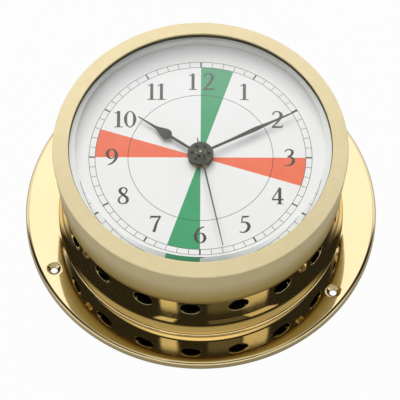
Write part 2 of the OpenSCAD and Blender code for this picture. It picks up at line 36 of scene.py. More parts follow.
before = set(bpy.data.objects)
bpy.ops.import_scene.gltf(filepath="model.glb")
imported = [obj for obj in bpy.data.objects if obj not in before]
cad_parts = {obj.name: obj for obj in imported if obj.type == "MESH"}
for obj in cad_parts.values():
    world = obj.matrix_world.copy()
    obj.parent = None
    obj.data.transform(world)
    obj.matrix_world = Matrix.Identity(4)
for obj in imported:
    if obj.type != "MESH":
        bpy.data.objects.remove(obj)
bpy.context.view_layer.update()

# Camera: it stands so far from the pivot, in the direction given by elevation and turn, and looks at the aim
VIEW_ELEVATION = math.radians(59.63)
VIEW_TURN = math.radians(0.65)
VIEW_ROLL = math.radians(0.40)
VIEW_DISTANCE = 1.9568
VIEW_LENS = 419.0
VIEW_PIVOT = Vector((0, 0, 48 * MM))
VIEW_AIM = Vector((-0.1 * MM, -20.3 * MM, 48 * MM))

# Turned pieces: how finely they are divided
STEPS = 216
ARC_STEPS = 6


# ---------------------------------------------------------------- places and sizes

def top_of(node):
    """Height of a CAD node's top, in millimetres."""
    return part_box(node)[1].z / MM


def bottom_of(node):
    """Height of a CAD node's underside, in millimetres."""
    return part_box(node)[0].z / MM


def radius_of(node):
    """Outer radius of a round CAD node that stands on the axis, in millimetres."""
    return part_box(node)[1].y / MM


# Every size below is in millimetres. Mounting flange
FLANGE_R = radius_of("mounting_flange")
FLANGE_TOP = top_of("mounting_flange")
DOME_R = 300.0
SHEET = 2.0
RIM_W = 2.2
ROLL_R = 1.5
RIM_CHAMFER = 0.4
SPIGOT_H = 3.0
FIXING_R = 68.7
FIXING_HOLE_R = 1.5
FIXING_SINK_R = 2.8
FIXING_COUNT = 3
FIXING_TURN = math.radians(1)
CASE_TURN = math.radians(4)

# Drum
DRUM_R = 59.0
DRUM_BORE_R = 57.8
DRUM_TOP = top_of("case_drum")
FOOT_R = radius_of("case_drum")
FOOT_H = 9.6
CREST_R = (FOOT_R + FLANGE_R) / 2 + 0.9
VENT_COUNT = 18
VENT_R = 4.4
VENT_Z = 23.4
VENT_EDGE = 0.15

# Bezel
BEZEL_R = radius_of("bezel_ring")
BEZEL_TOP = top_of("bezel_ring")
BEZEL_BOTTOM = bottom_of("bezel_ring")
BEZEL_DROP = 1.8
BEZEL_ROUND_H = 4.0
BEZEL_EDGE_T = 0.45
SKIRT_R = 59.15
OPENING_R = 55.4
INSERT_R = radius_of("crystal")
LIP_Z = top_of("crystal_gasket")

# Glass and its gasket
CRYSTAL_TOP = top_of("crystal")
CRYSTAL_BOTTOM = bottom_of("crystal")
CRYSTAL_FACE_R = 52.7
BEVEL_R = 55.9
BEVEL_LAND_Z = bottom_of("crystal_gasket")
GASKET_TOP = BEZEL_TOP - 1.0
GASKET_LIP = 0.3
GLASS_IOR = 1.6

# Dial
DIAL_R = radius_of("dial_plate")
DIAL_TOP = top_of("dial_plate")


def dome_z(r):
    """Height of the flange's domed top at a radius."""
    return FLANGE_TOP - DOME_R + math.sqrt(DOME_R ** 2 - (r - CREST_R) ** 2)


# ---------------------------------------------------------------- node helpers

def new_material(name, colour, roughness, metallic=0.0):
    """A material with its nodes, links and shader."""
    mat = bpy.data.materials.new(name)
    mat.use_nodes = True
    shader = mat.node_tree.nodes["Principled BSDF"]
    shader.inputs["Base Color"].default_value = (*colour, 1)
    shader.inputs["Roughness"].default_value = roughness
    shader.inputs["Metallic"].default_value = metallic
    return mat, mat.node_tree.nodes, mat.node_tree.links, shader


def noise(nodes, links, scale, detail=2.0, stretch=(1, 1, 1)):
    """Noise in object space, so many grains to the metre."""
    place = nodes.new("ShaderNodeTexCoord")
    mapping = nodes.new("ShaderNodeMapping")
    mapping.inputs["Scale"].default_value = stretch
    texture = nodes.new("ShaderNodeTexNoise")
    texture.inputs["Scale"].default_value = scale
    texture.inputs["Detail"].default_value = detail
    links.new(place.outputs["Object"], mapping.inputs["Vector"])
    links.new(mapping.outputs["Vector"], texture.inputs["Vector"])
    return texture.outputs["Fac"]


def spread(nodes, links, value, low, high, start=0.3, end=0.7):
    """Takes values from start to end onto low to high, and keeps them within."""
    node = nodes.new("ShaderNodeMapRange")
    node.inputs["From Min"].default_value = start
    node.inputs["From Max"].default_value = end
    node.inputs["To Min"].default_value = low
    node.inputs["To Max"].default_value = high
    links.new(value, node.inputs["Value"])
    return node.outputs["Result"]


def two_tone(nodes, links, value, colour_a, colour_b):
    """A colour between two, chosen by a value from 0 to 1."""
    node = nodes.new("ShaderNodeMix")
    node.data_type = "RGBA"
    node.inputs["A"].default_value = (*colour_a, 1)
    node.inputs["B"].default_value = (*colour_b, 1)
    links.new(value, node.inputs["Factor"])
    return node.outputs["Result"]


def maths(nodes, links, operation, *values):
    """A math node whose inputs are links or plain numbers."""
    node = nodes.new("ShaderNodeMath")
    node.operation = operation
    for socket, value in zip(node.inputs, values):
        if isinstance(value, (int, float)):
            socket.default_value = value
        else:
            links.new(value, socket)
    return node.outputs[0]


def rise(nodes, links, value, start, end):
    """A soft step from 0 at start to 1 at end."""
    node = nodes.new("ShaderNodeMapRange")
    node.interpolation_type = "SMOOTHSTEP"
    node.inputs["From Min"].default_value = min(start, end)
    node.inputs["From Max"].default_value = max(start, end)
    node.inputs["To Min"].default_value = 0 if start < end else 1
    node.inputs["To Max"].default_value = 1 if start < end else 0
    links.new(value, node.inputs["Value"])
    return node.outputs["Result"]


def window(nodes, links, value, low, high, soft):
    """1 between low and high, with soft edges."""
    first = rise(nodes, links, value, low - soft, low + soft)
    second = rise(nodes, links, value, high + soft, high - soft)
    return maths(nodes, links, "MULTIPLY", first, second)


def bump(nodes, links, shader, value, height):
    """Fine relief on the surface, its height in metres."""
    node = nodes.new("ShaderNodeBump")
    node.inputs["Strength"].default_value = 1.0
    node.inputs["Distance"].default_value = height
    links.new(value, node.inputs["Height"])
    links.new(node.outputs["Normal"], shader.inputs["Normal"])


def finish_material(name, tone_a, tone_b, rough, grain, metallic=0.0, relief=0.0,
                    stretch=(1, 1, 1), gloss=0.5):
    """A surface with mottled colour, uneven gloss and fine relief."""
    mat, nodes, links, shader = new_material(name, tone_a, rough[0], metallic)
    shader.inputs["Specular IOR Level"].default_value = gloss
    cloud = noise(nodes, links, grain / 12)
    fine = noise(nodes, links, grain, 3.0, stretch)
    colour = two_tone(nodes, links, spread(nodes, links, cloud, 0, 1), tone_a, tone_b)
    links.new(colour, shader.inputs["Base Color"])
    links.new(spread(nodes, links, fine, rough[0], rough[1]), shader.inputs["Roughness"])
    if relief:
        bump(nodes, links, shader, fine, relief)
    return mat


def shade_lower_edge(mat, low, high, shade_tint):
    """Paints shade into a finish below a height, fully at low and not at all at high, in millimetres."""
    nodes, links = mat.node_tree.nodes, mat.node_tree.links
    shader = nodes["Principled BSDF"]
    colour = shader.inputs["Base Color"].links[0].from_socket
    place = nodes.new("ShaderNodeNewGeometry")
    split = nodes.new("ShaderNodeSeparateXYZ")
    links.new(place.outputs["Position"], split.inputs["Vector"])
    # Painted shade: the finish darkens towards the lower edge.
    height = rise(nodes, links, split.outputs["Z"], low * MM, high * MM)
    painted_shade = two_tone(nodes, links, height, shade_tint, (1, 1, 1))
    product = nodes.new("ShaderNodeMix")
    product.data_type = "RGBA"
    product.blend_type = "MULTIPLY"
    product.inputs["Factor"].default_value = 1.0
    links.new(colour, product.inputs["A"])
    links.new(painted_shade, product.inputs["B"])
    links.new(product.outputs["Result"], shader.inputs["Base Color"])


def crystal_material(name, unshaded_tint, painted_shade_tint):
    """Clear glass that lets plain light through to the dial.

    Its reflection is painted weaker towards 6 o'clock by fading its gloss there, and painted shade darkens
    its colour towards 6 o'clock, from the back tint to the front tint.
    """
    mat, nodes, links, shader = new_material(name, unshaded_tint, 0.0)
    shader.inputs["Transmission Weight"].default_value = 1.0
    shader.inputs["IOR"].default_value = GLASS_IOR
    haze = noise(nodes, links, 900)
    links.new(spread(nodes, links, haze, 0.0, 0.02), shader.inputs["Roughness"])
    place = nodes.new("ShaderNodeTexCoord")
    split = nodes.new("ShaderNodeSeparateXYZ")
    links.new(place.outputs["Object"], split.inputs["Vector"])
    height = spread(nodes, links, split.outputs["Y"], 0, 1, -DIAL_R * MM, DIAL_R * MM)
    # Painted reflection: the gloss fades from full near 12 o'clock to none at 6 o'clock.
    gloss = maths(nodes, links, "POWER", spread(nodes, links, height, 0, 1, 0, 0.8), 3.0)
    links.new(two_tone(nodes, links, gloss, (0, 0, 0), (1, 1, 1)), shader.inputs["Specular Tint"])
    # Painted shade: the colour darkens over the glass's front edge towards 6 o'clock.
    painted_shade = spread(nodes, links, split.outputs["Y"], 0, 1, -DIAL_R * MM, -0.75 * DIAL_R * MM)
    links.new(two_tone(nodes, links, painted_shade, painted_shade_tint, unshaded_tint), shader.inputs["Base Color"])
    clear = nodes.new("ShaderNodeBsdfTransparent")
    clear.inputs["Color"].default_value = (0.95, 0.97, 0.96, 1)
    path = nodes.new("ShaderNodeLightPath")
    passing = maths(nodes, links, "MAXIMUM", path.outputs["Is Shadow Ray"], path.outputs["Is Diffuse Ray"])
    mix = nodes.new("ShaderNodeMixShader")
    links.new(passing, mix.inputs["Fac"])
    links.new(shader.outputs["BSDF"], mix.inputs[1])
    links.new(clear.outputs["BSDF"], mix.inputs[2])
    links.new(mix.outputs["Shader"], nodes["Material Output"].inputs["Surface"])
    return mat


def make_materials():
    """Every finish on the clock, by the record's slot names."""
    brass_light = (0.93, 0.775, 0.43)
    brass_dark = (0.91, 0.745, 0.40)
    made = {
        "polished_brass": finish_material(
            "polished_brass", brass_light, brass_dark, (0.03, 0.07), 500, 1.0),
        "satin_brass": finish_material(
            "satin_brass", (0.88, 0.77, 0.47), (0.85, 0.74, 0.44), (0.50, 0.60), 2600, 0.50, 0.00001),
        "screw_brass": finish_material(
            "screw_brass", (0.72, 0.50, 0.26), (0.62, 0.42, 0.21), (0.2, 0.34), 1500, 1.0, 0.00001),
        "raw_brass": finish_material(
            "raw_brass", (0.78, 0.62, 0.32), (0.70, 0.54, 0.26), (0.28, 0.42), 1800, 1.0, 0.00001),
        # Both glasses have their reflection painted weaker towards 6 o'clock; the bevel's nearly black front
        # tint is painted shade towards 6 o'clock.
        "crystal_glass": crystal_material("crystal_glass", (0.97, 0.99, 0.985), (0.97, 0.99, 0.985)),
        "bevel_glass": crystal_material("bevel_glass", (0.86, 0.89, 0.88), (0.09, 0.14, 0.11)),
        "black_rubber": finish_material(
            "black_rubber", (0.040, 0.036, 0.018), (0.065, 0.058, 0.030), (0.6, 0.8), 1500, 0.0, 0.00002),
        "spacer_white": finish_material(
            "spacer_white", (0.74, 0.75, 0.72), (0.70, 0.71, 0.68), (0.35, 0.5), 1200),
        "dial_white": finish_material(
            "dial_white", (0.875, 0.850, 0.864), (0.855, 0.830, 0.846), (0.38, 0.5), 1600, 0.0, 0.000004),
        "black_plastic": finish_material(
            "black_plastic", (0.018, 0.018, 0.020), (0.03, 0.03, 0.032), (0.42, 0.6), 1600, 0.0, 0.00003),
        "white_plastic": finish_material(
            "white_plastic", (0.78, 0.77, 0.72), (0.72, 0.71, 0.66), (0.35, 0.5), 1400, 0.0, 0.00001),
        "steel": finish_material(
            "steel", (0.62, 0.62, 0.63), (0.52, 0.52, 0.54), (0.22, 0.36), 1600, 1.0, 0.00001),
        "copper_wire": finish_material(
            "copper_wire", (0.80, 0.36, 0.20), (0.62, 0.24, 0.12), (0.25, 0.4), 4000, 1.0, 0.00004,
            (8, 0.2, 0.2)),
        "green_board": finish_material(
            "green_board", (0.02, 0.16, 0.07), (0.03, 0.20, 0.09), (0.3, 0.45), 1500),
        "cell_jacket": finish_material(
            "cell_jacket", (0.05, 0.12, 0.30), (0.04, 0.10, 0.25), (0.25, 0.4), 900),
        "hand_olive": finish_material(
            "hand_olive", (0.105, 0.104, 0.078), (0.085, 0.084, 0.063), (0.36, 0.5), 2200, 0.55, 0.000008),
        "magnet_grey": finish_material(
            "magnet_grey", (0.16, 0.16, 0.17), (0.12, 0.12, 0.13), (0.4, 0.55), 1800, 0.6),
        "ink": finish_material(
            "ink", (0.045, 0.042, 0.038), (0.065, 0.060, 0.054), (0.5, 0.65), 2400, gloss=0.2),
        "figure_ink": finish_material(
            "figure_ink", (0.085, 0.082, 0.072), (0.105, 0.100, 0.088), (0.5, 0.65), 2400, gloss=0.2),
        "green_print": finish_material(
            "green_print", (0.075, 0.35, 0.165), (0.085, 0.37, 0.18), (0.45, 0.6), 2400, gloss=0.2),
        "red_print": finish_material(
            "red_print", (0.86, 0.18, 0.10), (0.88, 0.20, 0.115), (0.45, 0.6), 2400, gloss=0.2),
    }
    # Painted shade on the bezel's lower side: a broad darkening over its lowest 20 mm, and a darker band over
    # its bottom 4 mm.
    shade_lower_edge(made["satin_brass"], BEZEL_BOTTOM + 2, BEZEL_BOTTOM + 20, (0.66, 0.56, 0.28))
    shade_lower_edge(made["satin_brass"], BEZEL_BOTTOM, BEZEL_BOTTOM + 4, (0.42, 0.34, 0.20))
    return made


MATERIALS = make_materials()


# ---------------------------------------------------------------- mesh helpers

def piece(name, bm, finish, body="case", sharp=32.0):
    """Turns a bmesh into a smooth piece with its finish, riding on a body."""
    bmesh.ops.remove_doubles(bm, verts=bm.verts, dist=1e-7)
    bmesh.ops.recalc_face_normals(bm, faces=bm.faces)
    mesh = bpy.data.meshes.new(name)
    bm.to_mesh(mesh)
    bm.free()
    mesh.shade_smooth()
    mesh.set_sharp_from_angle(angle=math.radians(sharp))
    mesh.materials.append(MATERIALS[finish])
    obj = bpy.data.objects.new(name, mesh)
    bpy.context.scene.collection.objects.link(obj)
    weighted = obj.modifiers.new("even_normals", "WEIGHTED_NORMAL")
    weighted.keep_sharp = True
    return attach(obj, body)


def turned_point(angle, r, z):
    """A point at an angle clockwise from 12 o'clock, millimetres to metres."""
    return Vector((r * math.sin(angle), r * math.cos(angle), z)) * MM


def fillet(profile, radii):
    """Rounds the corners of a closed profile, one radius for each point, 0 for a sharp one."""
    rounded = []
    count = len(profile)
    for i, (point, radius) in enumerate(zip(profile, radii)):
        here = Vector(point)
        if radius <= 0:
            rounded.append(tuple(here))
            continue
        before = Vector(profile[i - 1]) - here
        after = Vector(profile[(i + 1) % count]) - here
        half = before.angle(after) / 2
        reach = min(radius / math.tan(half), 0.45 * before.length, 0.45 * after.length)
        start = here + before.normalized() * reach
        end = here + after.normalized() * reach
        for k in range(ARC_STEPS + 1):
            t = k / ARC_STEPS
            rounded.append(tuple(start * (1 - t) ** 2 + here * 2 * t * (1 - t) + end * t ** 2))
    return rounded


def arc(centre, radius, first, last, steps=ARC_STEPS):
    """Points of an arc in the profile plane, angles in degrees from outward."""
    points = []
    for k in range(steps + 1):
        a = math.radians(first + (last - first) * k / steps)
        points.append((centre[0] + radius * math.cos(a), centre[1] + radius * math.sin(a)))
    return points


def turn_profile(bm, profile, angles):
    """Sweeps a profile through angles round the axis and returns the grid of vertices."""
    return [[bm.verts.new(turned_point(a, r, z)) for r, z in profile] for a in angles]


def full_turn():
    """The angles of a plain turned piece."""
    return [2 * math.pi * i / STEPS for i in range(STEPS)]


def skin(bm, grid, windows=(), wrap_profile=True):
    """Faces between the grid's stations, with windows left open: (stations, (first row, last row))."""
    stations = len(grid)
    rows = len(grid[0])
    last = rows if wrap_profile else rows - 1
    for i in range(stations):
        for j in range(last):
            if any(i in across and min(along) <= j < max(along) for across, along in windows):
                continue
            a, b = grid[i], grid[(i + 1) % stations]
            bm.faces.new((a[j], b[j], b[(j + 1) % rows], a[(j + 1) % rows]))


def lathe(name, profile, finish, sharp):
    """A plain turned piece from a closed profile."""
    bm = bmesh.new()
    skin(bm, turn_profile(bm, profile, full_turn()))
    return piece(name, bm, finish, sharp=sharp)


# ---------------------------------------------------------------- windows with round holes

def loft(bm, ring, points):
    """Carries a ring of vertices on to new points and returns the new ring."""
    return join_rings(bm, ring, [bm.verts.new(p) for p in points])


def join_rings(bm, ring, other):
    """Faces between two rings of vertices in the same order."""
    count = len(ring)
    for k in range(count):
        bm.faces.new((ring[k], ring[(k + 1) % count], other[(k + 1) % count], other[k]))
    return other


def bridge(bm, ring, other, settle, steps=5):
    """Faces between two rings that lie on one curved surface; settle drops a point onto it."""
    start = [v.co.copy() for v in ring]
    end = [v.co.copy() for v in other]
    for k in range(1, steps):
        ring = loft(bm, ring, [settle(a.lerp(b, k / steps)) for a, b in zip(start, end)])
    join_rings(bm, ring, other)


def window_border(grid, across, along):
    """Vertices round an open window of a turned grid, in order. along is (first row, last row)."""
    stations = len(grid)
    first, last = along
    step = 1 if last > first else -1
    left, right = across[0], across[-1] + 1
    border = [grid[i % stations][first] for i in range(left, right)]
    border += [grid[right % stations][j] for j in range(first, last, step)]
    border += [grid[i % stations][last] for i in range(right, left, -1)]
    border += [grid[left % stations][j] for j in range(last, first, -step)]
    return border


def circle_towards(border, centre, across, along, radius):
    """Points of a circle about a centre, one towards each vertex of a border."""
    points = []
    for vert in border:
        offset = vert.co - centre
        t = math.atan2(offset.dot(along), offset.dot(across))
        points.append(centre + (across * math.cos(t) + along * math.sin(t)) * radius * MM)
    return points


def axes_at(angle):
    """Outward and sideways directions at an angle clockwise from 12 o'clock."""
    return Vector((math.sin(angle), math.cos(angle), 0)), Vector((math.cos(angle), -math.sin(angle), 0))


def onto_tube(radius):
    """A function that moves a point along its radius onto a tube."""
    def settle(point):
        flat = Vector((point.x, point.y, 0)).normalized() * radius * MM
        return Vector((flat.x, flat.y, point.z))
    return settle


def onto_dome(drop):
    """A function that moves a point up or down onto the flange's dome, or so far below it."""
    def settle(point):
        r = math.hypot(point.x, point.y) / MM
        return Vector((point.x, point.y, (dome_z(r) - drop) * MM))
    return settle


def steps_between(first, last, count):
    """Evenly spaced values, both ends included."""
    return [first + (last - first) * k / count for k in range(count + 1)]


# ---------------------------------------------------------------- case

def flange_profile(hole_rows):
    """Section of the flange, and where its top and under sides are open for the fixing holes."""
    roll_r = FLANGE_R - ROLL_R
    roll_c = (roll_r, dome_z(roll_r) - ROLL_R)
    wall_r = FLANGE_R - RIM_W
    foot_z = dome_z(FOOT_R)
    spigot_z = foot_z - SPIGOT_H
    inner = DRUM_R + FIT
    # Between low and high the sheet is divided finely enough for the holes
    low = FIXING_R - 5
    high = FIXING_R + 4.6
    top = [(inner, foot_z)] + [(r, dome_z(r)) for r in steps_between(FOOT_R, low, 4)[:-1]]
    top_first = len(top)
    top += [(r, dome_z(r)) for r in steps_between(low, high, hole_rows)]
    rim = arc(roll_c, ROLL_R, 84, 0, 8)
    rim += [(FLANGE_R, RIM_CHAMFER), (FLANGE_R - RIM_CHAMFER, 0), (wall_r, 0)]
    high_under = min(high, wall_r - 0.3)
    under = [(wall_r, dome_z(wall_r) - SHEET)]
    under_first = len(top) + len(rim) + len(under)
    under += [(r, dome_z(r) - SHEET) for r in steps_between(high_under, low, hole_rows)]
    under += [(r, dome_z(r) - SHEET) for r in steps_between(low, FOOT_R, 3)[1:]]
    under += [(FOOT_R, spigot_z), (inner, spigot_z)]
    windows = ((top_first, top_first + hole_rows), (under_first + hole_rows, under_first))
    return top + rim + under, windows


def make_flange():
    """Slightly domed flange with a rolled rim and countersunk fixing holes."""
    hole_rows, hole_columns, plain_columns = 8, 8, 64
    pitch = 2 * math.pi / FIXING_COUNT
    # Half the angle of the window that is left open for a hole
    half = math.radians(4.2)
    sink = FIXING_SINK_R - FIXING_HOLE_R
    # Radius and depth of each ring down the countersink and the hole
    rings = [(FIXING_SINK_R, 0.03), (FIXING_SINK_R - 0.1, 0.12), (FIXING_HOLE_R + 0.05, sink - 0.08)]
    rings += [(FIXING_HOLE_R, sink), (FIXING_HOLE_R, SHEET)]
    profile, (top_rows, under_rows) = flange_profile(hole_rows)
    angles, windows = [], []
    for k in range(FIXING_COUNT):
        middle = CASE_TURN + FIXING_TURN + k * pitch
        windows.append((middle, range(len(angles), len(angles) + hole_columns)))
        angles += steps_between(middle - half, middle + half, hole_columns)
        angles += steps_between(middle + half, middle + pitch - half, plain_columns)[1:-1]
    bm = bmesh.new()
    grid = turn_profile(bm, profile, angles)
    skin(bm, grid, [(w, rows) for _, w in windows for rows in (top_rows, under_rows)])
    for middle, columns in windows:
        outward, sideways = axes_at(middle)
        centre = outward * FIXING_R * MM
        border = window_border(grid, columns, top_rows)
        on_top = onto_dome(0)
        points = circle_towards(border, centre, sideways, outward, FIXING_SINK_R + 0.1)
        ring = [bm.verts.new(on_top(p)) for p in points]
        bridge(bm, border, ring, on_top, 4)
        for radius, drop in rings:
            settle = onto_dome(drop)
            points = circle_towards(border, centre, sideways, outward, radius)
            ring = loft(bm, ring, [settle(p) for p in points])
        bridge(bm, ring, window_border(grid, columns, under_rows), onto_dome(SHEET), 4)
    flange = piece("flange", bm, "polished_brass", sharp=38)
    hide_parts("mounting_flange")


def drum_profile(hole_rows):
    """Section of the drum, and where its outer and inner walls are open for the vents."""
    # The wall is divided finely enough for the vents this far above and below their middle
    reach = 6.6
    foot_z = dome_z(FOOT_R)
    spread_r = FOOT_R - DRUM_R
    cove_r = (FOOT_H ** 2 + spread_r ** 2) / (2 * spread_r)
    flare = math.degrees(math.asin(FOOT_H / cove_r))
    # A narrow upright edge stands below the cove
    edge_r = FOOT_R - 0.2
    outer = [(FOOT_R, foot_z), (edge_r, foot_z + 0.25)]
    cove = arc((DRUM_R + cove_r, foot_z + FOOT_H), cove_r, 180 + flare, 180, 12)
    outer += [(edge_r, foot_z + 0.9)] + [point for point in cove if point[0] < edge_r - 0.1]
    outer_first = len(outer)
    outer += [(DRUM_R, z) for z in steps_between(VENT_Z - reach, VENT_Z + reach, hole_rows)]
    outer += [(DRUM_R, DRUM_TOP), (DRUM_BORE_R, DRUM_TOP)]
    inner_first = len(outer)
    inner = [(DRUM_BORE_R, z) for z in steps_between(VENT_Z + reach, VENT_Z - reach, hole_rows)]
    inner += [(DRUM_BORE_R, foot_z - SPIGOT_H), (DRUM_R, foot_z - SPIGOT_H), (DRUM_R, foot_z)]
    windows = ((outer_first, outer_first + hole_rows), (inner_first + hole_rows, inner_first))
    return outer + inner, windows


def make_drum():
    """Polished drum with a flared foot and a row of vents with softened edges."""
    hole_rows, hole_columns = 10, 14
    pitch = 2 * math.pi / VENT_COUNT
    profile, (outer_rows, inner_rows) = drum_profile(hole_rows)
    angles = [CASE_TURN + pitch * (i / hole_columns - 0.5) for i in range(VENT_COUNT * hole_columns)]
    bm = bmesh.new()
    grid = turn_profile(bm, profile, angles)
    windows = [range(k * hole_columns, (k + 1) * hole_columns) for k in range(VENT_COUNT)]
    skin(bm, grid, [(w, rows) for w in windows for rows in (outer_rows, inner_rows)])
    up = Vector((0, 0, 1))
    for k, columns in enumerate(windows):
        outward, sideways = axes_at(CASE_TURN + k * pitch)
        centre = outward * DRUM_R * MM + up * VENT_Z * MM
        border = window_border(grid, columns, outer_rows)
        outside = onto_tube(DRUM_R)
        points = circle_towards(border, centre, sideways, up, VENT_R + VENT_EDGE)
        ring = [bm.verts.new(outside(p)) for p in points]
        bridge(bm, border, ring, outside)
        for a in steps_between(15, 90, 5):
            radius = VENT_R + VENT_EDGE * (1 - math.sin(math.radians(a)))
            settle = onto_tube(DRUM_R - VENT_EDGE * (1 - math.cos(math.radians(a))))
            points = circle_towards(border, centre, sideways, up, radius)
            ring = loft(bm, ring, [settle(p) for p in points])
        inside = onto_tube(DRUM_BORE_R)
        points = circle_towards(border, centre, sideways, up, VENT_R)
        ring = loft(bm, ring, [inside(p) for p in points])
        bridge(bm, ring, window_border(grid, columns, inner_rows), inside)
    drum = piece("drum", bm, "polished_brass", sharp=38)
    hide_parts("case_drum")


def bezel_profile():
    """Section of the bezel: face, tapered side, rounded lower edge, skirt and lip."""
    side_r = SKIRT_R + 2 * BEZEL_EDGE_T
    seat_r = INSERT_R + FIT
    round_r = (BEZEL_ROUND_H ** 2 + BEZEL_EDGE_T ** 2) / (2 * BEZEL_EDGE_T)
    bend = math.degrees(math.asin(BEZEL_ROUND_H / round_r))
    outer = [(OPENING_R, LIP_Z), (OPENING_R, BEZEL_TOP), (BEZEL_R, BEZEL_TOP - BEZEL_DROP)]
    lower = arc((side_r - round_r, BEZEL_BOTTOM + BEZEL_ROUND_H), round_r, 0, -bend)
    inner = [(SKIRT_R, BEZEL_BOTTOM), (SKIRT_R, DRUM_TOP), (seat_r, DRUM_TOP), (seat_r, LIP_Z)]
    radii = [0.1, 0.25, 0.6] + [0] * len(lower) + [0.1, 0, 0, 0]
    return fillet(outer + lower + inner, radii)


def make_bezel():
    """Satin bezel ring."""
    bezel = lathe("bezel", bezel_profile(), "satin_brass", sharp=50)
    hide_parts("bezel_ring")


def make_crystal():
    """The glass with its ground bevel, which bends the dial's edge."""
    profile = [(0, CRYSTAL_BOTTOM), (INSERT_R, CRYSTAL_BOTTOM), (INSERT_R, BEVEL_LAND_Z),
               (BEVEL_R, BEVEL_LAND_Z), (CRYSTAL_FACE_R, CRYSTAL_TOP), (0, CRYSTAL_TOP)]
    bm = bmesh.new()
    skin(bm, turn_profile(bm, profile, full_turn()), wrap_profile=False)
    crystal = piece("crystal_lens", bm, "crystal_glass", sharp=10)
    crystal.data.materials.append(MATERIALS["bevel_glass"])
    # Of all its faces only the bevel's lean, and they take the second material
    for face in crystal.data.polygons:
        face.material_index = int(0.3 < face.normal.z < 0.95)
    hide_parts("crystal")


def make_gasket():
    """Black seal under the lip, with a thin edge that stands up round the glass."""
    wall_r = OPENING_R - FIT
    edge_r = wall_r - GASKET_LIP
    out_r = INSERT_R - FIT
    slope = (CRYSTAL_TOP - BEVEL_LAND_Z) / (BEVEL_R - CRYSTAL_FACE_R)
    foot = BEVEL_LAND_Z + (BEVEL_R - edge_r) * slope + 2 * FIT
    profile = [(BEVEL_R, BEVEL_LAND_Z + FIT), (out_r, BEVEL_LAND_Z + FIT), (out_r, LIP_Z - FIT),
               (wall_r, LIP_Z + FIT), (wall_r, GASKET_TOP), (edge_r, GASKET_TOP), (edge_r, foot)]
    gasket = lathe("gasket", profile, "black_rubber", sharp=40)
    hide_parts("crystal_gasket")


# ---------------------------------------------------------------- dial print

INK_T = 0.012
TRACK_OUT_R = 46.9
TRACK_IN_R = 44.3
HOUR_CIRCLE_R = 30.5
FINE_LINE = 0.20
HOUR_TICK = 0.65
SECTOR_IN_R = 4.2
SECTOR_SPAN = 18
FIGURE_H = 8.1
FIGURE_W = 9.3
FIGURE_R = 37.2
PEN_WEIGHT = 1.15

